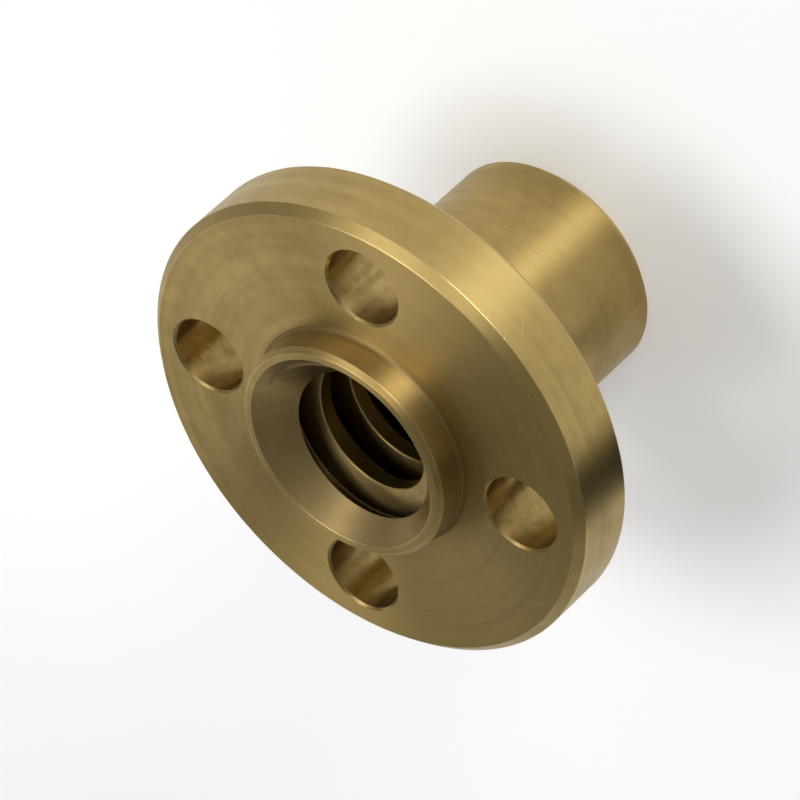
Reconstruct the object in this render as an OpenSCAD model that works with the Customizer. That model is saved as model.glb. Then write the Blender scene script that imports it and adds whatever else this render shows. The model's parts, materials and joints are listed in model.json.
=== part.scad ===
// Flanged lead screw nut for a single-start trapezoidal screw, turned from one piece of brass.
// Z runs along the bore. Z = 0 is the flange's seating face: the barrel reaches down from it,
// and the flange and the short boss stand above it. Sizes are in millimetres.
// The bore is the hole before tapping, at the crest of the thread. The thread's sizes set it,
// the walls outside the thread's roots and the lead-in cones.

/* [Thread] */
// Nominal outer diameter of the screw that the nut runs on
screw_d = 8; // [6:0.5:16]
// Pitch of the thread, and its lead because it has one start
pitch = 2; // [1:0.25:3]
// Gap between the screw's crests and the roots of the nut's thread
crest_clearance = 0.25; // [0.1:0.05:0.4]
// Angle between a lead-in cone and the bore's axis
lead_in_angle = 45; // [30:5:60]

/* [Barrel] */
// Length of the barrel below the flange
barrel_length = 10; // [5:0.5:30]
// Wall of the barrel outside the thread's roots
barrel_wall = 0.85; // [0.6:0.05:2]
// Chamfer round the barrel's free end
barrel_chamfer = 0.4; // [0.1:0.05:0.7]
// How far the barrel's lead-in cone opens past the thread's roots
barrel_lead_in = 0.1; // [0.05:0.05:0.4]

/* [Boss] */
// Height of the boss above the flange
boss_height = 1.5; // [0.8:0.1:6]
// Wall of the boss outside the thread's roots
boss_wall = 0.85; // [0.75:0.05:2]
// Chamfer round the boss's free end
boss_chamfer = 0.2; // [0.1:0.05:0.45]
// How far the boss's lead-in cone opens past the thread's roots
boss_lead_in = 0.35; // [0.1:0.05:0.6]

/* [Flange] */
// How far the flange stands out from the barrel
flange_reach = 5.9; // [5.5:0.1:12]
// Thickness of the flange
flange_thickness = 3.5; // [2:0.1:10]
// Chamfer on both edges of the flange's rim
flange_chamfer = 0.4; // [0.1:0.05:0.8]
// Radius left by the tool's nose where the barrel and the boss meet the flange
corner_r = 0.2; // [0.05:0.05:0.4]

/* [Mounting holes] */
// Number of mounting holes, evenly spaced
hole_count = 4; // [3:1:8]
// Diameter of each mounting hole
hole_d = 3.5; // [2:0.1:4]
// Distance from the flange's rim to the holes' centres
hole_inset = 3; // [2.7:0.1:3.3]

/* [Hidden] */
$fn = 144;

// Thread: its ridges are half a pitch deep, so bore_r is the crest of the nut's thread,
// and root_r is the bottom of its groove, just clear of the screw
bore_r = (screw_d - pitch) / 2;
root_r = screw_d / 2 + crest_clearance;

// Turned outline
barrel_r = root_r + barrel_wall;
boss_r = root_r + boss_wall;
flange_r = barrel_r + flange_reach;
barrel_end_z = -barrel_length;
boss_end_z = flange_thickness + boss_height;
barrel_mouth_r = root_r + barrel_lead_in;
boss_mouth_r = root_r + boss_lead_in;
barrel_mouth_depth = (barrel_mouth_r - bore_r) / tan(lead_in_angle);
boss_mouth_depth = (boss_mouth_r - bore_r) / tan(lead_in_angle);
hole_circle_r = flange_r - hole_inset;
hole_overrun = 1;

// Half of the body's section, from the barrel's mouth round the outside to the boss's mouth
module body_section() {
    polygon([
        [bore_r, barrel_end_z + barrel_mouth_depth],
        [barrel_mouth_r, barrel_end_z],
        [barrel_r - barrel_chamfer, barrel_end_z],
        [barrel_r, barrel_end_z + barrel_chamfer],
        [barrel_r, 0],
        [flange_r - flange_chamfer, 0],
        [flange_r, flange_chamfer],
        [flange_r, flange_thickness - flange_chamfer],
        [flange_r - flange_chamfer, flange_thickness],
        [boss_r, flange_thickness],
        [boss_r, boss_end_z - boss_chamfer],
        [boss_r - boss_chamfer, boss_end_z],
        [boss_mouth_r, boss_end_z],
        [bore_r, boss_end_z - boss_mouth_depth]
    ]);
}

// Fillet section in the corner at the origin, between +X and the side of Z that `side` gives
module corner_fillet(side) {
    difference() {
        translate([0, side > 0 ? 0 : -corner_r]) square(corner_r);
        translate([corner_r, side * corner_r]) circle(corner_r);
    }
}

module turned_body() {
    rotate_extrude() body_section();
    rotate_extrude() translate([barrel_r, 0]) corner_fillet(-1);
    rotate_extrude() translate([boss_r, flange_thickness]) corner_fillet(1);
}

module mounting_holes() {
    for (i = [0 : hole_count - 1])
        rotate(i * 360 / hole_count)
            translate([hole_circle_r, 0, -hole_overrun])
                cylinder(d = hole_d, h = flange_thickness + 2 * hole_overrun);
}

module flanged_nut() {
    color("#a8925a")
        difference() {
            turned_body();
            mounting_holes();
        }
}

flanged_nut();
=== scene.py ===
import json
import math

import bmesh
import bpy
from mathutils import Euler, Matrix, Vector


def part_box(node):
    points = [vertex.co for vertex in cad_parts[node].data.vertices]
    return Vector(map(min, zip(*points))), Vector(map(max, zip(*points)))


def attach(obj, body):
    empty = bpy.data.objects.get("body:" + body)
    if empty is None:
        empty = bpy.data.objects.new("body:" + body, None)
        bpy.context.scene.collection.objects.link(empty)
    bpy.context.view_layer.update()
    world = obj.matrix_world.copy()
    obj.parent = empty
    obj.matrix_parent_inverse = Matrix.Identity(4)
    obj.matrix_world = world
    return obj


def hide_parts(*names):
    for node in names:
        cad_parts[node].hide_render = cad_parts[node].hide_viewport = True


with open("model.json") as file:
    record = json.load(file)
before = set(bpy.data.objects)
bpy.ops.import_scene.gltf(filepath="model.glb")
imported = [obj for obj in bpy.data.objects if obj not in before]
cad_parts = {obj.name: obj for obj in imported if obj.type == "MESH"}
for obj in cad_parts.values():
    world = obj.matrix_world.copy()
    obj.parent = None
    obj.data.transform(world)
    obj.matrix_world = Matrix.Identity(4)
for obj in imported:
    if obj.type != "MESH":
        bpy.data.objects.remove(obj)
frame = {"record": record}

bl_info = {
    "name": "Flanged lead screw nut",
    "version": (1, 0, 0),
    "blender": (4, 5, 0),
    "location": "3D View > Sidebar > Screw Nut",
    "description": "Turns, drills and taps a flanged brass nut for a trapezoidal lead screw",
    "category": "Object",
}

MM = 0.001
NODE = "flanged_nut"
BODY = "root"

MOUNTS = {mount["name"]: mount for mount in frame["record"]["mounts"]}
BOX_LOW, BOX_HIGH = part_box(NODE)


def mount_size(name, key):
    """A mount's stated size, in metres."""
    return MOUNTS[name]["dims"][key] * MM


def mount_height(name):
    """The height of a mount's point above the flange's seat, in metres."""
    return MOUNTS[name]["pos_m"][2]


# ---------------------------------------------------------------------------------------------
# Sizes and finishes
# ---------------------------------------------------------------------------------------------


def length_property(name, description, default):
    """A length in metres, with the digits that a small turned part needs."""
    return bpy.props.FloatProperty(
        name=name, description=description, default=default,
        min=0.0, precision=6, subtype="DISTANCE", unit="LENGTH",
    )


def colour_property(name, description, default):
    return bpy.props.FloatVectorProperty(
        name=name, description=description, default=default,
        size=3, min=0.0, max=1.0, subtype="COLOR",
    )


class ScrewNutSizes(bpy.types.PropertyGroup):
    """Sizes of the nut, in metres. Heights are measured from the flange's seat."""

    crest_radius: length_property(
        "Crest radius", "Radius of the bore at the crest of the thread",
        mount_size("screw_thread", "r_mm"))
    root_radius: length_property(
        "Root radius", "Radius at the bottom of the thread's groove", 4.25 * MM)
    pitch: length_property(
        "Pitch", "Rise of the thread in one turn", 2.0 * MM)
    flank_angle: bpy.props.FloatProperty(
        name="Flank angle", description="Angle between the two flanks of the thread",
        default=math.radians(30), subtype="ANGLE", unit="ROTATION")
    barrel_radius: length_property(
        "Barrel radius", "Radius of the barrel", mount_size("barrel", "r_mm"))
    barrel_length: length_property(
        "Barrel length", "Length of the barrel below the flange", -mount_height("barrel_end"))
    barrel_chamfer: length_property(
        "Barrel chamfer", "Chamfer round the barrel's free end", 0.4 * MM)
    barrel_mouth: length_property(
        "Barrel mouth", "How far the barrel's lead-in cone opens past the thread's roots", 0.1 * MM)
    boss_radius: length_property(
        "Boss radius", "Radius of the boss", mount_size("boss", "r_mm"))
    boss_top: length_property(
        "Boss top", "Height of the boss's free end above the seat", BOX_HIGH.z)
    boss_chamfer: length_property(
        "Boss chamfer", "Chamfer round the boss's free end", 0.2 * MM)
    boss_mouth: length_property(
        "Boss mouth", "How far the boss's lead-in cone opens past the thread's roots", 0.35 * MM)
    flange_radius: length_property(
        "Flange radius", "Radius of the flange", min(BOX_HIGH.x, BOX_HIGH.y))
    flange_thickness: length_property(
        "Flange thickness", "Thickness of the flange", mount_height("flange_face"))
    flange_chamfer: length_property(
        "Flange chamfer", "Chamfer on both edges of the flange's rim", 0.4 * MM)
    corner_radius: length_property(
        "Corner radius", "Radius left by the tool's nose in the corners of the flange", 0.2 * MM)
    edge_radius: length_property(
        "Edge radius", "Radius that deburring leaves on each turned edge", 0.06 * MM)
    hole_radius: length_property(
        "Hole radius", "Radius of each mounting hole", mount_size("flange_holes", "hole_r_mm"))
    hole_circle_radius: length_property(
        "Hole circle radius", "Radius of the circle through the hole centres",
        mount_size("flange_holes", "pcd_mm") / 2)
    hole_count: bpy.props.IntProperty(
        name="Hole count", description="Number of mounting holes, evenly spaced",
        default=MOUNTS["flange_holes"]["dims"]["count"], min=1)
    hole_deburr: length_property(
        "Hole deburr", "Chamfer that deburring leaves on each end of a hole", 0.1 * MM)
    crest_break: length_property(
        "Crest break", "Chamfer on the edges of the thread's crest", 0.05 * MM)


class ScrewNutFinish(bpy.types.PropertyGroup):
    """Colours and marks of the brass."""

    brass: colour_property(
        "Brass", "Colour of clean turned brass", (0.47, 0.343, 0.126))
    tarnish: colour_property(
        "Tarnish", "Colour of brass that has begun to tarnish", (0.30, 0.205, 0.068))
    rubbed: colour_property(
        "Rubbed brass", "Colour of edges and scratches rubbed bright", (0.58, 0.435, 0.19))
    # Painted shade: this dark colour is laid into the concave corners at the flange's seat and at
    # the boss's foot.
    corner_shade: colour_property(
        "Grime", "Colour of the grime left in the flange's corners", (0.16, 0.105, 0.04))
    tapped: colour_property(
        "Tapped brass", "Colour of the oiled brass inside the bore", (0.40, 0.29, 0.12))
    bore_tarnish: colour_property(
        "Bore tarnish", "Colour of tarnished brass inside the bore", (0.20, 0.135, 0.055))
    # Painted shade: this dark colour darkens the thread's roots and the bore further in from its
    # mouths.
    thread_root_shade: colour_property(
        "Thread oil", "Colour of old oil at the thread's roots", (0.06, 0.042, 0.02))
    # Tarnish and painted shade: laid heavily over the hole walls, this dark colour darkens them as
    # shade would.
    hole_tarnish_and_shade: colour_property(
        "Hole tarnish", "Colour of tarnished brass inside the mounting holes",
        (0.17, 0.11, 0.036))
    mark_spacing: length_property(
        "Mark spacing", "Distance from one turning mark to the next", 0.09 * MM)
    mark_depth: length_property(
        "Mark depth", "Depth of the turning marks", 0.004 * MM)


class ScrewNutStage(bpy.types.PropertyGroup):
    """Floor, lamps and camera."""

    floor_colour: colour_property(
        "Floor colour", "Colour of the plain floor", (0.86, 0.865, 0.865))
    camera_azimuth: bpy.props.FloatProperty(
        name="Camera azimuth", description="Direction of the camera, turned from +X towards +Y",
        default=math.radians(57.0), subtype="ANGLE", unit="ROTATION")
    camera_elevation: bpy.props.FloatProperty(
        name="Camera elevation", description="Height of the camera above the floor's plane",
        default=math.radians(36.2), subtype="ANGLE", unit="ROTATION")
    camera_distance: length_property(
        "Camera distance", "Distance from the camera to the middle of the nut", 275 * MM)
    aim_height: length_property(
        "Aim height", "Height above the flange's seat of the point that the camera looks at",
        0.9 * MM)
    view_width: length_property(
        "View width", "Width that the picture covers at the nut", 33 * MM)


# ---------------------------------------------------------------------------------------------
# Node building
# ---------------------------------------------------------------------------------------------


class Bench:
    """Adds nodes to a node tree and feeds them by their sockets' names or numbers."""

    def __init__(self, tree):
        self.tree = tree

    def node(self, kind, inputs=None, **settings):
        node = self.tree.nodes.new(kind)
        for setting, value in settings.items():
            setattr(node, setting, value)
        for socket, value in (inputs or {}).items():
            self.feed(node.inputs[socket], value)
        return node

    def feed(self, socket, value):
        if isinstance(value, bpy.types.NodeSocket):
            self.tree.links.new(value, socket)
        else:
            socket.default_value = value

    def math(self, operation, first, second=0.0, third=0.0):
        """The result of one Math node."""
        node = self.node(
            "ShaderNodeMath", {0: first, 1: second, 2: third}, operation=operation)
        return node.outputs[0]

    def vector(self, operation, first, second=None):
        """The vector that comes out of one Vector Math node."""
        inputs = {0: first} if second is None else {0: first, 1: second}
        return self.node("ShaderNodeVectorMath", inputs, operation=operation).outputs["Vector"]

    def length(self, vector):
        node = self.node("ShaderNodeVectorMath", {0: vector}, operation="LENGTH")
        return node.outputs["Value"]

    def flat(self, place):
        """A place brought down to the level of the flange's seat."""
        return self.vector("MULTIPLY", place, (1.0, 1.0, 0.0))

    def polar(self, place):
        """Distance from the nut's axis, and height above the flange's seat."""
        height = self.node("ShaderNodeSeparateXYZ", {"Vector": place}).outputs["Z"]
        return self.length(self.flat(place)), height

    def combine(self, x=0.0, y=0.0, z=0.0):
        return self.node("ShaderNodeCombineXYZ", {"X": x, "Y": y, "Z": z}).outputs["Vector"]


def add_sockets(tree, direction, sockets):
    """Adds (name, kind, default) sockets to a tree's interface. Shaders' kinds have no default."""
    for name, kind, default in sockets:
        socket = tree.interface.new_socket(name=name, in_out=direction, socket_type=kind)
        if default is not None:
            socket.default_value = default


def set_input(modifier, name, value):
    """Sets a geometry nodes input by its socket's identifier."""
    for item in modifier.node_group.interface.items_tree:
        if item.item_type == "SOCKET" and item.in_out == "INPUT" and item.name == name:
            modifier[item.identifier] = value
            return
    raise KeyError(f"{modifier.node_group.name} has no input named {name}")


# ---------------------------------------------------------------------------------------------
# The nut's sections
# ---------------------------------------------------------------------------------------------

ARC_STEP = math.radians(9)
HOLD = 0.04 * MM
BODY_LINE, GROOVE_LINE, DRILL_LINE = 0, 1, 2
# The wear attribute's values: edges rubbed bright, plain surfaces, and concave corners that get
# painted shade and a grimy roughness.
RUBBED, PLAIN, SHADE_AND_GRIME = 1.0, 0.0, -1.0


def rounded_corner(before, corner, after, radius, wear):
    """(point, wear) pairs round one corner. A plain point on each side keeps the flats flat."""
    back = (before - corner).normalized()
    onward = (after - corner).normalized()
    opening = back.angle(onward)
    reach = radius / math.tan(opening / 2)
    centre = corner + (back + onward).normalized() * radius / math.sin(opening / 2)
    start = corner + back * reach - centre
    sweep = math.pi - opening
    if back.cross(onward) > 0:
        sweep = -sweep
    steps = max(2, math.ceil(abs(sweep) / ARC_STEP))
    arc = [centre + Matrix.Rotation(sweep * i / steps, 2) @ start for i in range(steps + 1)]
    return [
        (corner + back * (reach + HOLD), PLAIN),
        *((point, wear) for point in arc),
        (corner + onward * (reach + HOLD), PLAIN),
    ]


def body_line(sizes):
    """The turned section: (radius, height) points with their wear, or the painted shade of a
    concave corner.
    """
    mouth_low = sizes.root_radius + sizes.barrel_mouth
    mouth_high = sizes.root_radius + sizes.boss_mouth
    crest, barrel, boss = sizes.crest_radius, sizes.barrel_radius, sizes.boss_radius
    low, high, face = -sizes.barrel_length, sizes.boss_top, sizes.flange_thickness
    rim, rim_chamfer = sizes.flange_radius, sizes.flange_chamfer
    edge, nose = sizes.edge_radius, sizes.corner_radius
    corners = [
        (crest, low + mouth_low - crest, edge, PLAIN),
        (mouth_low, low, edge, RUBBED),
        (barrel - sizes.barrel_chamfer, low, edge, RUBBED),
        (barrel, low + sizes.barrel_chamfer, edge, RUBBED),
        # This concave corner and the one at the boss's foot get painted shade.
        (barrel, 0.0, nose, SHADE_AND_GRIME),
        (rim - rim_chamfer, 0.0, edge, RUBBED),
        (rim, rim_chamfer, edge, RUBBED),
        (rim, face - rim_chamfer, edge, RUBBED),
        (rim - rim_chamfer, face, edge, RUBBED),
        (boss, face, nose, SHADE_AND_GRIME),
        (boss, high - sizes.boss_chamfer, edge / 2, RUBBED),
        (boss - sizes.boss_chamfer, high, edge / 2, RUBBED),
        (mouth_high, high, edge / 2, RUBBED),
        (crest, high - mouth_high + crest, edge, PLAIN),
    ]
    points = [Vector(corner[:2]) for corner in corners]
    line = []
    for i, (_, _, radius, wear) in enumerate(corners):
        after = points[(i + 1) % len(points)]
        line += rounded_corner(points[i - 1], points[i], after, radius, wear)
    return line


def groove_line(sizes):
    """The thread's groove, cut from the bore: (radius, height) points."""
    slope = math.tan(sizes.flank_angle / 2)
    crest, root, broken = sizes.crest_radius, sizes.root_radius, sizes.crest_break
    pitch_radius = crest + sizes.pitch / 4
    overlap = 4 * broken

    def half_width(radius):
        return sizes.pitch / 4 - (radius - pitch_radius) * slope

    upper = [
        (crest - overlap, half_width(crest + broken) + broken + overlap),
        (crest + broken, half_width(crest + broken)),
        (root - broken, half_width(root - broken)),
        (root, half_width(root) - broken),
    ]
    lower = [(radius, -height) for radius, height in reversed(upper)]
    return [(Vector(point), PLAIN) for point in upper + lower]


def drill_line(sizes):
    """Half of a mounting hole's outline: (radius, height) points from below to above."""
    radius, deburr, face = sizes.hole_radius, sizes.hole_deburr, sizes.flange_thickness
    overrun = radius / 2
    outline = (
        (radius + deburr + overrun, -overrun, PLAIN),
        (radius, deburr, RUBBED),
        (radius, face - deburr, RUBBED),
        (radius + deburr + overrun, face + overrun, PLAIN),
    )
    return [(Vector((radius, height)), wear) for radius, height, wear in outline]


def sections_mesh(sizes):
    """One drawing with the three section lines, told apart by an edge attribute."""
    drawing = bmesh.new()
    line_layer = drawing.edges.layers.int.new("line")
    wear_layer = drawing.verts.layers.float.new("wear")
    for number, line, closed in (
        (BODY_LINE, body_line(sizes), True),
        (GROOVE_LINE, groove_line(sizes), True),
        (DRILL_LINE, drill_line(sizes), False),
    ):
        dots = []
        for point, wear in line:
            dot = drawing.verts.new((*point, 0.0))
            dot[wear_layer] = wear
            dots.append(dot)
        pairs = list(zip(dots, dots[1:])) + ([(dots[-1], dots[0])] if closed else [])
        for pair in pairs:
            drawing.edges.new(pair)[line_layer] = number
    mesh = bpy.data.meshes.new("nut_sections")
    drawing.to_mesh(mesh)
    drawing.free()
    return mesh


# ---------------------------------------------------------------------------------------------
# Turning, tapping and drilling
# ---------------------------------------------------------------------------------------------

SPIN_STEPS, THREAD_STEPS, DRILL_STEPS = 256, 192, 72
SHARP_ANGLE = math.radians(20)
FLOAT, INTEGER = "NodeSocketFloat", "NodeSocketInt"
GEOMETRY, MATERIAL = "NodeSocketGeometry", "NodeSocketMaterial"


def section_curve(bench, drawing, number):
    """One of the drawing's lines as a curve."""
    line = bench.node("GeometryNodeInputNamedAttribute", {"Name": "line"}, data_type="INT")
    allowance = 0.1
    chosen = bench.math("COMPARE", line.outputs["Attribute"], float(number), allowance)
    part = bench.node(
        "GeometryNodeSeparateGeometry",
        {"Geometry": drawing, "Selection": chosen}, domain="EDGE")
    return bench.node("GeometryNodeMeshToCurve", {"Mesh": part.outputs["Selection"]}).outputs[0]


def swept(bench, path, line, path_radius):
    """Sweeps a section along a round path, with its radii counted from the axis."""
    upright = bench.node("GeometryNodeSetCurveNormal", {"Curve": path}, mode="Z_UP")
    moved = bench.node(
        "GeometryNodeTransform", {
            "Geometry": line,
            "Translation": bench.combine(x=bench.math("MULTIPLY", path_radius, -1.0)),
            "Rotation": Euler((math.pi, 0.0, 0.0)),
        })
    return bench.node(
        "GeometryNodeCurveToMesh",
        {"Curve": upright.outputs[0], "Profile Curve": moved.outputs[0], "Fill Caps": True},
    ).outputs["Mesh"]


def turned_body(bench, drawing, sockets):
    """The section turned about the axis."""
    path = bench.node(
        "GeometryNodeCurvePrimitiveCircle",
        {"Resolution": SPIN_STEPS, "Radius": sockets["Crest Radius"]}, mode="RADIUS")
    line = section_curve(bench, drawing, BODY_LINE)
    return swept(bench, path.outputs["Curve"], line, sockets["Crest Radius"])


def tapped_groove(bench, drawing, sockets):
    """The groove wound right-handed from below the barrel to above the boss."""
    pitch, low, high = sockets["Pitch"], sockets["Thread Low"], sockets["Thread High"]
    height = bench.math("SUBTRACT", high, low)
    path = bench.node(
        "GeometryNodeCurveSpiral", {
            "Resolution": THREAD_STEPS,
            "Rotations": bench.math("DIVIDE", height, pitch),
            "Start Radius": sockets["Pitch Radius"],
            "End Radius": sockets["Pitch Radius"],
            "Height": height,
            "Reverse": True,
        })
    lifted = bench.node(
        "GeometryNodeTransform",
        {"Geometry": path.outputs["Curve"], "Translation": bench.combine(z=low)})
    line = section_curve(bench, drawing, GROOVE_LINE)
    return swept(bench, lifted.outputs[0], line, sockets["Pitch Radius"])


def drilled_holes(bench, drawing, sockets):
    """One drill with a deburring cone at each end, repeated round the hole circle."""
    line = section_curve(bench, drawing, DRILL_LINE)
    place = bench.node("GeometryNodeInputPosition")
    parts = bench.node("ShaderNodeSeparateXYZ", {"Vector": place.outputs[0]})
    held = bench.node("GeometryNodeCaptureAttribute", {"Geometry": line})
    held.capture_items.new("FLOAT", "Radius")
    bench.feed(held.inputs["Radius"], parts.outputs["X"])
    axis = bench.node(
        "GeometryNodeSetPosition",
        {"Geometry": held.outputs["Geometry"], "Position": bench.combine(z=parts.outputs["Y"])})
    ring = bench.node(
        "GeometryNodeCurvePrimitiveCircle", {"Resolution": DRILL_STEPS, "Radius": 1.0},
        mode="RADIUS")
    drill = bench.node(
        "GeometryNodeCurveToMesh", {
            "Curve": axis.outputs["Geometry"],
            "Profile Curve": ring.outputs["Curve"],
            "Scale": held.outputs["Radius"],
            "Fill Caps": True,
        })
    centres = bench.node(
        "GeometryNodeMeshCircle",
        {"Vertices": sockets["Hole Count"], "Radius": sockets["Hole Circle Radius"]})
    drills = bench.node(
        "GeometryNodeInstanceOnPoints",
        {"Points": centres.outputs["Mesh"], "Instance": drill.outputs["Mesh"]})
    return one_mesh(bench, drills.outputs["Instances"])


def one_mesh(bench, geometry):
    """The geometry with its instances made real."""
    return bench.node("GeometryNodeRealizeInstances", {"Geometry": geometry}).outputs[0]


def finished_in(bench, geometry, material, selection=True):
    """Gives the selected faces a material."""
    return bench.node(
        "GeometryNodeSetMaterial",
        {"Geometry": geometry, "Selection": selection, "Material": material}).outputs[0]


def cut_away(bench, body, cutter):
    """The body less what the cutter takes."""
    return bench.node(
        "GeometryNodeMeshBoolean", {"Mesh 1": body, "Mesh 2": cutter},
        operation="DIFFERENCE", solver="EXACT").outputs["Mesh"]


def inside_the_bore(bench, sockets):
    """True on faces nearer the axis than the mouths of the two lead-in cones."""
    radius, height = bench.polar(bench.node("GeometryNodeInputPosition").outputs[0])
    mouth = bench.node(
        "ShaderNodeMapRange", {
            "Value": height,
            "From Min": sockets["Barrel End"],
            "From Max": sockets["Boss Top"],
            "To Min": sockets["Mouth Low"],
            "To Max": sockets["Mouth High"],
        })
    return bench.math("LESS_THAN", radius, mouth.outputs["Result"])


def crisp_edges(bench, geometry):
    """Smooth shading, broken where two faces meet at a real edge."""
    smooth = bench.node(
        "GeometryNodeSetShadeSmooth", {"Geometry": geometry, "Shade Smooth": True},
        domain="FACE")
    angle = bench.node("GeometryNodeInputMeshEdgeAngle").outputs["Unsigned Angle"]
    sharp = bench.math("GREATER_THAN", angle, SHARP_ANGLE)
    return bench.node(
        "GeometryNodeSetShadeSmooth",
        {"Geometry": smooth.outputs[0], "Selection": sharp, "Shade Smooth": False},
        domain="EDGE").outputs[0]


def nut_tree():
    """Geometry nodes that turn the body, tap its bore and drill its flange."""
    tree = bpy.data.node_groups.new("make_screw_nut", "GeometryNodeTree")
    add_sockets(tree, "INPUT", (
        ("Sections", GEOMETRY, None),
        ("Crest Radius", FLOAT, None),
        ("Pitch Radius", FLOAT, None),
        ("Pitch", FLOAT, None),
        ("Thread Low", FLOAT, None),
        ("Thread High", FLOAT, None),
        ("Barrel End", FLOAT, None),
        ("Boss Top", FLOAT, None),
        ("Mouth Low", FLOAT, None),
        ("Mouth High", FLOAT, None),
        ("Hole Count", INTEGER, None),
        ("Hole Circle Radius", FLOAT, None),
        ("Turned", MATERIAL, None),
        ("Tapped", MATERIAL, None),
        ("Drilled", MATERIAL, None),
    ))
    add_sockets(tree, "OUTPUT", (("Nut", GEOMETRY, None),))
    bench = Bench(tree)
    sockets = bench.node("NodeGroupInput").outputs
    drawing = sockets["Sections"]

    body = finished_in(bench, turned_body(bench, drawing, sockets), sockets["Turned"])
    groove = finished_in(bench, tapped_groove(bench, drawing, sockets), sockets["Tapped"])
    drills = finished_in(bench, drilled_holes(bench, drawing, sockets), sockets["Drilled"])
    nut = cut_away(bench, cut_away(bench, body, groove), drills)
    nut = one_mesh(bench, crisp_edges(bench, nut))
    nut = finished_in(bench, nut, sockets["Tapped"], inside_the_bore(bench, sockets))
    bench.node("NodeGroupOutput", {"Nut": nut})
    return tree


def nut_mesh(sizes, materials):
    """The finished nut as a plain mesh."""
    maker = bpy.data.objects.new("nut_sections", sections_mesh(sizes))
    bpy.context.scene.collection.objects.link(maker)
    modifier = maker.modifiers.new("make_screw_nut", "NODES")
    modifier.node_group = nut_tree()
    for name, value in (
        ("Crest Radius", sizes.crest_radius),
        ("Pitch Radius", sizes.crest_radius + sizes.pitch / 4),
        ("Pitch", sizes.pitch),
        ("Thread Low", -sizes.barrel_length - sizes.pitch),
        ("Thread High", sizes.boss_top + sizes.pitch),
        ("Barrel End", -sizes.barrel_length),
        ("Boss Top", sizes.boss_top),
        ("Mouth Low", sizes.root_radius + sizes.barrel_mouth),
        ("Mouth High", sizes.root_radius + sizes.boss_mouth),
        ("Hole Count", sizes.hole_count),
        ("Hole Circle Radius", sizes.hole_circle_radius),
        ("Turned", materials["turned"]),
        ("Tapped", materials["tapped"]),
        ("Drilled", materials["drilled"]),
    ):
        set_input(modifier, name, value)
    graph = bpy.context.evaluated_depsgraph_get()
    mesh = bpy.data.meshes.new_from_object(
        maker.evaluated_get(graph), preserve_all_data_layers=True, depsgraph=graph)
    bpy.data.objects.remove(maker)
    return mesh


# ---------------------------------------------------------------------------------------------
# Brass
# ---------------------------------------------------------------------------------------------

VALUE, COLOUR, VECTOR = "NodeSocketFloat", "NodeSocketColor", "NodeSocketVector"
PER_MM = 1.0 / MM


def noise(bench, vector, scale, detail=2.0, roughness=0.5):
    """Smooth noise from 0 to 1."""
    return bench.node(
        "ShaderNodeTexNoise",
        {"Vector": vector, "Scale": scale, "Detail": detail, "Roughness": roughness},
    ).outputs["Fac"]


def ramp(bench, value, low, high, start=0.0, end=1.0):
    """The value spread from the range low-high onto start-end, and held there."""
    return bench.node(
        "ShaderNodeMapRange",
        {"Value": value, "From Min": low, "From Max": high, "To Min": start, "To Max": end},
        clamp=True).outputs["Result"]


def blended(bench, factor, first, second):
    """Two colours mixed by a factor."""
    node = bench.node("ShaderNodeMix", data_type="RGBA")
    colours = [socket for socket in node.inputs if socket.type == "RGBA"]
    bench.feed(node.inputs["Factor"], factor)
    bench.feed(colours[0], first)
    bench.feed(colours[1], second)
    return next(socket for socket in node.outputs if socket.type == "RGBA")


def opaque(colour):
    """A colour with the fourth number that a shader's socket wants."""
    return (*colour, 1.0)


def tinted(bench, colour, *layers):
    """A colour with (mask, strength, tint) layers laid over it in turn."""
    for mask, strength, tint in layers:
        colour = blended(bench, bench.math("MULTIPLY", mask, strength), colour, opaque(tint))
    return colour


def roughened(bench, roughness, *layers):
    """A roughness with (mask, change) layers added to it in turn."""
    for mask, change in layers:
        roughness = bench.math("MULTIPLY_ADD", mask, change, roughness)
    return roughness


def in_mm(bench, place):
    """A place in millimetres, for patterns whose scale is counted per millimetre."""
    return bench.vector("MULTIPLY", place, (PER_MM,) * 3)


def new_group(name, inputs, outputs):
    """A shader node group: its tree, a bench on it and the sockets of its input node."""
    tree = bpy.data.node_groups.new(name, "ShaderNodeTree")
    add_sockets(tree, "INPUT", inputs)
    add_sockets(tree, "OUTPUT", outputs)
    bench = Bench(tree)
    return tree, bench, bench.node("NodeGroupInput").outputs


def tool_marks_group():
    """Fine rings left by a cutting tool that feeds along a turned or drilled surface."""
    broad_rings, broad_share = 6.0, 0.6
    tree, bench, given = new_group("tool_marks", (
        ("Position", VECTOR, None),
        ("Radial Share", VALUE, 1.0),
        ("Axial Share", VALUE, 1.3),
        ("Spacing", VALUE, 0.09),
        ("Unevenness", VALUE, 0.25),
    ), (
        ("Height", VALUE, None),
        ("Banding", VALUE, None),
        ("Grooves", VALUE, None),
    ))
    radius, height = bench.polar(given["Position"])
    travel = bench.math(
        "MULTIPLY_ADD", radius, given["Radial Share"],
        bench.math("MULTIPLY", height, given["Axial Share"]))
    travel = bench.math("MULTIPLY", travel, PER_MM)
    outwards = bench.vector("NORMALIZE", bench.flat(given["Position"]))
    around = bench.node(
        "ShaderNodeVectorMath", {0: outwards, "Scale": given["Unevenness"]},
        operation="SCALE").outputs["Vector"]

    def rings(spacing, detail):
        step = bench.combine(z=bench.math("DIVIDE", travel, spacing))
        return noise(bench, bench.vector("ADD", around, step), 1.0, detail)

    fine = rings(given["Spacing"], 1.0)
    broad = rings(bench.math("MULTIPLY", given["Spacing"], broad_rings), 3.0)
    bench.node("NodeGroupOutput", {
        "Height": bench.math("MULTIPLY_ADD", broad, broad_share, fine),
        "Banding": broad,
        "Grooves": ramp(bench, fine, 0.28, 0.42, start=1.0, end=0.0),
    })
    return tree


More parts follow.
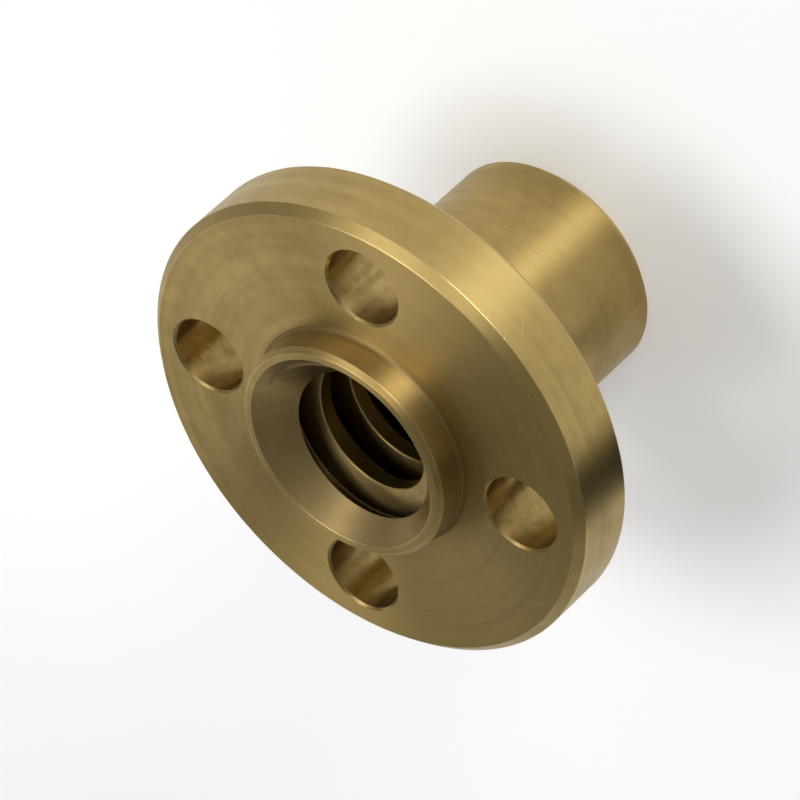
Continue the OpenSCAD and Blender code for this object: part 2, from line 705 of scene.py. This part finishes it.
def patina_group():
    """Brass that has dulled unevenly: broad clouds, small blotches and dark specks."""
    cloud_share, blotch_share, blotches_per_cloud = 0.65, 0.35, 5.0
    speck_core, speck_rim, specks_per_mm = 0.03, 0.07, 1.6
    speck_colour = (0.10, 0.065, 0.025)
    tree, bench, given = new_group("brass_patina", (
        ("Position", VECTOR, None),
        ("Clean", COLOUR, None),
        ("Tarnished", COLOUR, None),
        ("Amount", VALUE, 0.5),
        ("Patch Size", VALUE, 3.0),
        ("Specks", VALUE, 0.3),
    ), (
        ("Color", COLOUR, None),
        ("Dullness", VALUE, None),
    ))
    place = in_mm(bench, given["Position"])
    per_patch = bench.math("DIVIDE", 1.0, given["Patch Size"])
    per_blotch = bench.math("MULTIPLY", per_patch, blotches_per_cloud)
    clouds = ramp(bench, noise(bench, place, per_patch, 4.0, 0.6), 0.35, 0.70)
    blotches = ramp(bench, noise(bench, place, per_blotch, 3.0, 0.55), 0.42, 0.68)
    dullness = bench.math(
        "MULTIPLY_ADD", blotches, blotch_share, bench.math("MULTIPLY", clouds, cloud_share))
    dullness = bench.math("MULTIPLY", dullness, given["Amount"])
    cells = bench.node(
        "ShaderNodeTexVoronoi",
        {"Vector": place, "Scale": specks_per_mm, "Randomness": 1.0}, feature="F1")
    specks = ramp(bench, cells.outputs["Distance"], speck_core, speck_rim, start=1.0, end=0.0)
    specks = bench.math("MULTIPLY", specks, given["Specks"])
    colour = blended(bench, dullness, given["Clean"], given["Tarnished"])
    colour = blended(bench, specks, colour, opaque(speck_colour))
    bench.node("NodeGroupOutput", {
        "Color": colour, "Dullness": bench.math("MAXIMUM", dullness, specks)})
    return tree


# Four families of scratches: a number that sets each apart, and the direction it is counted along.
SCRATCH_FAMILIES = (
    (3.1, (0.90, 0.30, 0.31)),
    (17.7, (-0.40, 0.85, 0.34)),
    (41.3, (0.20, -0.50, 0.84)),
    (67.9, (0.75, -0.60, -0.28)),
)


def handling_group():
    """Short straight hairlines, from handling and from lying among other nuts."""
    lines_per_mm, bends_per_mm, bend_reach = 0.6, 0.12, 6.0
    gates_per_mm, gate_closed, gate_opened, gate_sharpness = 0.7, 0.70, 0.25, 8.0
    tree, bench, given = new_group("handling_scratches", (
        ("Position", VECTOR, None),
        ("Line Width", VALUE, 0.012),
        ("Amount", VALUE, 0.5),
    ), (
        ("Scratches", VALUE, None),
    ))
    place = in_mm(bench, given["Position"])
    bend = bench.math("MULTIPLY", noise(bench, place, bends_per_mm, 0.0), bend_reach)
    gate = bench.math(
        "SUBTRACT", gate_closed, bench.math("MULTIPLY", given["Amount"], gate_opened))
    reach = bench.math("MULTIPLY", given["Line Width"], lines_per_mm)
    every = 0.0
    for seed, across in SCRATCH_FAMILIES:
        travel = bench.node(
            "ShaderNodeVectorMath", {0: place, 1: across}, operation="DOT_PRODUCT",
        ).outputs["Value"]
        travel = bench.math("ADD", bench.math("ADD", travel, bend), seed)
        off_line = bench.node(
            "ShaderNodeTexVoronoi", {"W": travel, "Scale": lines_per_mm, "Randomness": 1.0},
            feature="F1", voronoi_dimensions="1D").outputs["Distance"]
        line = bench.math("SUBTRACT", 1.0, bench.math("DIVIDE", off_line, reach))
        line = bench.math("MAXIMUM", line, 0.0)
        kept = noise(
            bench, bench.vector("ADD", place, (seed, seed, -seed)), gates_per_mm, 1.0)
        kept = bench.math("MULTIPLY", bench.math("SUBTRACT", kept, gate), gate_sharpness)
        kept = bench.math("MINIMUM", bench.math("MAXIMUM", kept, 0.0), 1.0)
        every = bench.math("MAXIMUM", every, bench.math("MULTIPLY", line, kept))
    bench.node("NodeGroupOutput", {"Scratches": every})
    return tree


class BrassMaker:
    """Builds the nut's brass finishes from the shared node groups."""

    def __init__(self, sizes, finish):
        self.sizes = sizes
        self.finish = finish
        self.marks = tool_marks_group()
        self.patina = patina_group()
        self.handling = handling_group()

    def start(self, name):
        material = bpy.data.materials.new(name)
        material.use_nodes = True
        material.node_tree.nodes.clear()
        bench = Bench(material.node_tree)
        place = bench.node("ShaderNodeTexCoord").outputs["Object"]
        return material, bench, place

    def group(self, bench, tree, inputs):
        node = bench.node("ShaderNodeGroup", node_tree=tree)
        for name, value in inputs.items():
            bench.feed(node.inputs[name], value)
        return node.outputs

    def wear(self, bench, place):
        """Masks of the edges, rubbed bright in patches, and of the concave corners, darkened with
        painted shade and roughened as grime.
        """
        patches_per_mm, least_rubbed = 1.3, 0.35
        wear = bench.node(
            "ShaderNodeAttribute", attribute_name="wear", attribute_type="GEOMETRY",
        ).outputs["Fac"]
        patches = noise(bench, in_mm(bench, place), patches_per_mm, 3.0)
        patches = ramp(bench, patches, 0.30, 0.62, start=least_rubbed)
        rubbed = bench.math("MULTIPLY", ramp(bench, wear, 0.25, RUBBED), patches)
        return rubbed, ramp(bench, wear, PLAIN, SHADE_AND_GRIME)

    def finish_shader(self, material, bench, inputs, height, depth):
        """The metal itself, with its relief."""
        bump = bench.node(
            "ShaderNodeBump", {"Strength": 1.0, "Distance": depth, "Height": height})
        shader = bench.node(
            "ShaderNodeBsdfPrincipled",
            {"Metallic": 1.0, "Normal": bump.outputs["Normal"], **inputs})
        bench.node("ShaderNodeOutputMaterial", {"Surface": shader.outputs["BSDF"]})
        return material

    def turned(self):
        """Outside of the nut, as the lathe left it and handling has dulled it."""
        finish = self.finish
        material, bench, place = self.start("turned_brass")
        rubbed, corner_shade_and_grime = self.wear(bench, place)
        patina = self.group(bench, self.patina, {
            "Position": place, "Clean": opaque(finish.brass),
            "Tarnished": opaque(finish.tarnish),
            "Amount": 0.45, "Patch Size": 3.5, "Specks": 0.2})
        marks = self.group(bench, self.marks, {
            "Position": place, "Radial Share": 1.0, "Axial Share": 1.3,
            "Spacing": finish.mark_spacing * PER_MM, "Unevenness": 0.35})
        scratches = self.group(
            bench, self.handling,
            {"Position": place, "Line Width": 0.014, "Amount": 0.5})["Scratches"]
        banding = ramp(bench, marks["Banding"], 0.36, 0.62)
        dark_rings = bench.math("MAXIMUM", self.dark_bands(bench, place, banding), bench.math(
            "MULTIPLY", marks["Grooves"], 0.45))
        colour = tinted(
            bench, patina["Color"],
            (dark_rings, 1.0, finish.tarnish),
            (scratches, 0.35, finish.rubbed),
            (rubbed, 0.5, finish.rubbed),
            # Painted shade darkens the concave corners.
            (corner_shade_and_grime, 0.55, finish.corner_shade))
        roughness = roughened(
            bench, 0.34,
            (patina["Dullness"], 0.16), (banding, 0.05), (rubbed, -0.04), (corner_shade_and_grime, 0.15))
        scratch_depth = -0.8
        relief = bench.math("MULTIPLY_ADD", scratches, scratch_depth, marks["Height"])
        around = bench.node(
            "ShaderNodeTangent", direction_type="RADIAL", axis="Z").outputs["Tangent"]
        across_the_marks = 0.25
        return self.finish_shader(
            material, bench,
            {"Base Color": colour, "Roughness": roughness, "Anisotropic": 0.8,
             "Anisotropic Rotation": across_the_marks, "Tangent": around},
            relief, finish.mark_depth)

    def dark_bands(self, bench, place, banding):
        """Broad dark rings, stronger round the foot of the boss where the tool dwelt."""
        everywhere, round_the_boss = 0.22, 0.35
        boss, face = self.sizes.boss_radius, self.sizes.flange_thickness
        radius, height = bench.polar(place)
        near_boss = bench.math(
            "MULTIPLY",
            ramp(bench, radius, boss + 0.9 * MM, boss + 1.5 * MM, start=1.0, end=0.0),
            ramp(bench, height, 0.9 * face, face))
        strength = bench.math("MULTIPLY_ADD", near_boss, round_the_boss, everywhere)
        return bench.math("MULTIPLY", banding, strength)

    def tapped(self):
        """Inside of the bore: torn a little by the tap, and darkened with painted shade towards the
        thread's roots and further in.
        """
        sizes, finish = self.sizes, self.finish
        material, bench, place = self.start("tapped_brass")
        radius, height = bench.polar(place)
        below_boss = bench.math(
            "SUBTRACT", bench.math("ADD", radius, sizes.boss_top),
            bench.math("ADD", height, sizes.root_radius + sizes.boss_mouth))
        above_end = bench.math(
            "ADD", bench.math("ADD", radius, height),
            sizes.barrel_length - sizes.root_radius - sizes.barrel_mouth)
        inside = ramp(
            bench, bench.math("MINIMUM", below_boss, above_end), 0.02 * MM, 0.5 * MM)
        rubbed = ramp(
            bench, radius, sizes.crest_radius + 0.02 * MM, sizes.crest_radius + 0.14 * MM,
            start=1.0, end=0.0)
        # Painted shade: darker towards the thread's roots and further into the bore.
        root_shade = bench.math("MULTIPLY", inside, ramp(
            bench, radius, sizes.root_radius - 0.5 * MM, sizes.root_radius))
        patina = self.group(bench, self.patina, {
            "Position": place, "Clean": opaque(finish.tapped),
            "Tarnished": opaque(finish.bore_tarnish),
            "Amount": 0.6, "Patch Size": 1.6, "Specks": 0.0})
        marks = self.group(bench, self.marks, {
            "Position": place, "Radial Share": 1.0, "Axial Share": 0.6,
            "Spacing": 0.08, "Unevenness": 0.4})
        # The painted shade of the roots and depths is laid over the bore's colour here.
        colour = tinted(
            bench, patina["Color"], (rubbed, 0.6, finish.brass), (root_shade, 0.75, finish.thread_root_shade))
        roughness = roughened(bench, 0.30, (patina["Dullness"], 0.2))
        return self.finish_shader(
            material, bench, {"Base Color": colour, "Roughness": roughness},
            marks["Height"], 0.5 * finish.mark_depth)

    def drilled(self):
        """Walls of the mounting holes: the drill's rings, oil that has dried in them, and heavy
        tarnish that is also painted shade, darkening the walls.
        """
        finish = self.finish
        material, bench, place = self.start("drilled_brass")
        rubbed, _ = self.wear(bench, place)
        # Tarnish and painted shade: the dark tarnish is laid heavily over the walls to darken them.
        patina = self.group(bench, self.patina, {
            "Position": place, "Clean": opaque(finish.brass),
            "Tarnished": opaque(finish.hole_tarnish_and_shade),
            "Amount": 0.85, "Patch Size": 2.0, "Specks": 0.0})
        marks = self.group(bench, self.marks, {
            "Position": place, "Radial Share": 0.0, "Axial Share": 1.0,
            "Spacing": 0.12, "Unevenness": 0.0})
        colour = tinted(
            bench, patina["Color"],
            (marks["Grooves"], 0.5, finish.tarnish), (rubbed, 0.5, finish.rubbed))
        roughness = roughened(bench, 0.30, (patina["Dullness"], 0.12))
        along_the_hole = bench.combine(z=1.0)
        return self.finish_shader(
            material, bench,
            {"Base Color": colour, "Roughness": roughness, "Anisotropic": 0.7,
             "Tangent": along_the_hole},
            marks["Height"], 0.5 * finish.mark_depth)


# ---------------------------------------------------------------------------------------------
# Operators
# ---------------------------------------------------------------------------------------------


class MakeScrewNut(bpy.types.Operator):
    """Turn, tap and drill the brass nut"""

    bl_idname = "screw_nut.make_nut"
    bl_label = "Make nut"

    def execute(self, context):
        sizes = context.scene.screw_nut_sizes
        maker = BrassMaker(sizes, context.scene.screw_nut_finish)
        materials = {
            "turned": maker.turned(), "tapped": maker.tapped(), "drilled": maker.drilled()}
        mesh = nut_mesh(sizes, materials)
        mesh.name = "threaded_nut"
        nut = bpy.data.objects.new("threaded_nut", mesh)
        context.scene.collection.objects.link(nut)
        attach(nut, BODY)
        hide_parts(NODE)
        return {"FINISHED"}


class SetStage(bpy.types.Operator):
    """Lay the plain floor, hang the soft lamps and place the camera"""

    bl_idname = "screw_nut.set_stage"
    bl_label = "Set stage"

    def execute(self, context):
        stage = context.scene.screw_nut_stage
        middle = Vector((0.0, 0.0, stage.aim_height))
        lay_floor(stage)
        hang_lamps(middle)
        stand_card()
        paint_sky(context.scene)
        place_camera(context.scene, stage, middle)
        context.scene.view_settings.view_transform = "Standard"
        return {"FINISHED"}


def direction(azimuth, elevation):
    """A unit vector, turned from +X towards +Y and lifted from the floor's plane."""
    return Vector((
        math.cos(elevation) * math.cos(azimuth),
        math.cos(elevation) * math.sin(azimuth),
        math.sin(elevation)))


def lay_floor(stage):
    """A plain floor under the nut, a little brighter to the eye and to the metal."""
    half, level, glow = 1.5, BOX_LOW.z, 0.28
    mesh = bpy.data.meshes.new("floor")
    corners = [(-half, -half, level), (half, -half, level), (half, half, level),
               (-half, half, level)]
    mesh.from_pydata(corners, [], [(0, 1, 2, 3)])
    floor = bpy.data.objects.new("floor", mesh)
    bpy.context.scene.collection.objects.link(floor)

    material = bpy.data.materials.new("plain_floor")
    material.use_nodes = True
    material.node_tree.nodes.clear()
    bench = Bench(material.node_tree)
    path = bench.node("ShaderNodeLightPath").outputs
    seen = bench.math("MAXIMUM", path["Is Camera Ray"], path["Is Glossy Ray"])
    shader = bench.node("ShaderNodeBsdfPrincipled", {
        "Base Color": opaque(stage.floor_colour),
        "Roughness": 0.9,
        "Specular IOR Level": 0.0,
        "Emission Color": (1.0, 1.0, 1.0, 1.0),
        "Emission Strength": bench.math("MULTIPLY", seen, glow),
    })
    bench.node("ShaderNodeOutputMaterial", {"Surface": shader.outputs["BSDF"]})
    mesh.materials.append(material)


def softbox(name, middle, azimuth, elevation, distance, width, height, radiance):
    """A rectangular lamp that faces the nut. Its radiance is what a mirror would show."""
    lamp = bpy.data.lights.new(name, "AREA")
    lamp.shape = "RECTANGLE"
    lamp.size, lamp.size_y = width, height
    lamp.energy = radiance * math.pi * width * height
    place = direction(math.radians(azimuth), math.radians(elevation)) * distance
    holder = bpy.data.objects.new(name, lamp)
    holder.location = middle + place
    holder.rotation_euler = place.to_track_quat("Z", "Y").to_euler()
    bpy.context.scene.collection.objects.link(holder)


def hang_lamps(middle):
    """Lamps for the whole nut, for the flange's face and for the streak down the barrel."""
    softbox(
        "key_softbox", middle, azimuth=143, elevation=66, distance=0.60,
        width=0.30, height=0.30, radiance=6.3)
    softbox(
        "face_softbox", middle, azimuth=214, elevation=31, distance=0.052,
        width=0.030, height=0.030, radiance=0.85)
    softbox(
        "barrel_softbox", middle, azimuth=66, elevation=9, distance=0.50,
        width=0.19, height=0.15, radiance=17.0)


def stand_card():
    """A black card beside the nut. Only the metal sees it, as a dark line down its side."""
    near_edge = [(15.0, 2.2, -9.5), (14.0, -4.2, -9.5)]
    far_edge = [(54.0, -30.0, 20.0), (62.0, -10.0, 20.0)]
    mesh = bpy.data.meshes.new("black_card")
    mesh.from_pydata(
        [Vector(corner) * MM for corner in near_edge + far_edge], [], [(0, 1, 2, 3)])
    material = bpy.data.materials.new("black_card")
    material.use_nodes = True
    shader = material.node_tree.nodes["Principled BSDF"]
    shader.inputs["Base Color"].default_value = (0.01, 0.01, 0.01, 1.0)
    shader.inputs["Roughness"].default_value = 0.9
    mesh.materials.append(material)
    card = bpy.data.objects.new("black_card", mesh)
    card.visible_camera = False
    card.visible_diffuse = False
    card.visible_shadow = False
    bpy.context.scene.collection.objects.link(card)


def paint_sky(scene):
    """A pale room: bright towards the horizon and darker overhead."""
    world = bpy.data.worlds.new("pale_room")
    world.use_nodes = True
    world.node_tree.nodes.clear()
    bench = Bench(world.node_tree)
    ray = bench.node("ShaderNodeTexCoord").outputs["Generated"]
    height = bench.node("ShaderNodeSeparateXYZ", {"Vector": ray}).outputs["Z"]
    glow = ramp(bench, height, 0.05, 0.55, start=0.60, end=0.22)
    camera = bench.node("ShaderNodeLightPath").outputs["Is Camera Ray"]
    strength = bench.math("MAXIMUM", glow, camera)
    sky = bench.node(
        "ShaderNodeBackground", {"Color": (1.0, 1.0, 1.0, 1.0), "Strength": strength})
    bench.node("ShaderNodeOutputWorld", {"Surface": sky.outputs["Background"]})
    scene.world = world


def place_camera(scene, stage, middle):
    """A long lens aimed at the nut, rolled so that +Y is upwards in the picture."""
    backward = direction(stage.camera_azimuth, stage.camera_elevation)
    up = Vector((0.0, 1.0, 0.0))
    up = (up - backward * up.dot(backward)).normalized()
    turn = Matrix((up.cross(backward), up, backward)).transposed().to_4x4()
    lens = bpy.data.cameras.new("camera")
    lens.sensor_width = 36.0
    lens.lens = lens.sensor_width * stage.camera_distance / stage.view_width
    lens.clip_start = stage.camera_distance / 50
    lens.clip_end = 20.0
    camera = bpy.data.objects.new("camera", lens)
    camera.matrix_world = Matrix.Translation(middle + backward * stage.camera_distance) @ turn
    scene.collection.objects.link(camera)
    scene.camera = camera


class ScrewNutPanel(bpy.types.Panel):
    """Sizes, finishes and the two operators, in the 3D view's sidebar"""

    bl_idname = "VIEW3D_PT_screw_nut"
    bl_label = "Screw Nut"
    bl_space_type = "VIEW_3D"
    bl_region_type = "UI"
    bl_category = "Screw Nut"

    def draw(self, context):
        for group, operator in (
            (context.scene.screw_nut_sizes, None),
            (context.scene.screw_nut_finish, MakeScrewNut),
            (context.scene.screw_nut_stage, SetStage),
        ):
            column = self.layout.column()
            for name in group.bl_rna.properties.keys():
                if name not in ("rna_type", "name"):
                    column.prop(group, name)
            if operator is not None:
                self.layout.operator(operator.bl_idname)


CLASSES = (
    ScrewNutSizes, ScrewNutFinish, ScrewNutStage, MakeScrewNut, SetStage, ScrewNutPanel)
GROUPS = (
    ("screw_nut_sizes", ScrewNutSizes),
    ("screw_nut_finish", ScrewNutFinish),
    ("screw_nut_stage", ScrewNutStage),
)


def register():
    for item in CLASSES:
        bpy.utils.register_class(item)
    for name, group in GROUPS:
        setattr(bpy.types.Scene, name, bpy.props.PointerProperty(type=group))


def unregister():
    for name, _ in GROUPS:
        delattr(bpy.types.Scene, name)
    for item in reversed(CLASSES):
        bpy.utils.unregister_class(item)


def main():
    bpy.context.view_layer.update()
    register()
    bpy.ops.screw_nut.make_nut()
    bpy.ops.screw_nut.set_stage()


if __name__ == "__main__":
    main()
